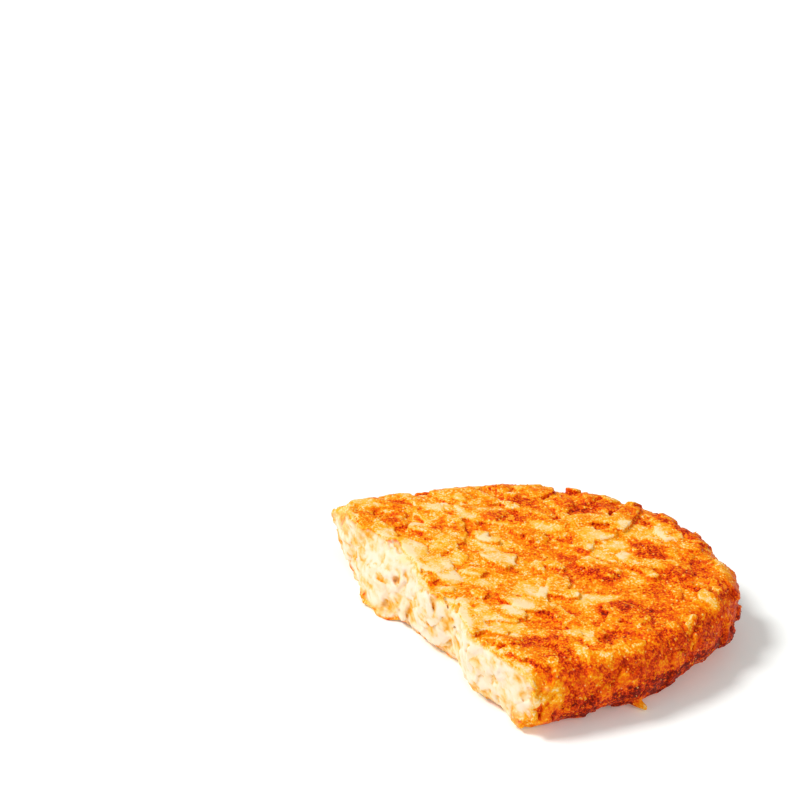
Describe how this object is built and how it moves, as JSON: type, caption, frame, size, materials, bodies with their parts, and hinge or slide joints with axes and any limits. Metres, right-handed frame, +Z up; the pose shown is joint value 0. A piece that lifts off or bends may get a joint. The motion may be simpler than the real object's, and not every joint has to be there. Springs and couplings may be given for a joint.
{
  "type": "hash brown half",
  "caption": "Half of an oval hash brown patty: browned shredded crust all round, and a torn face of pale potato mash where it was broken.",
  "frame": {"origin": "under the middle of the half's bounding box, on the surface that it lies on", "axes": "+Z up, from the flat underside to the browned top; +X from the torn end to the round end; +Y across the patty"},
  "size_m": [0.0626, 0.0638, 0.013],
  "materials": {
    "fried_potato": "satin"
  },
  "bodies": {
    "root": {"hash_brown_half": "fried_potato"}
  },
  "joints": []
}
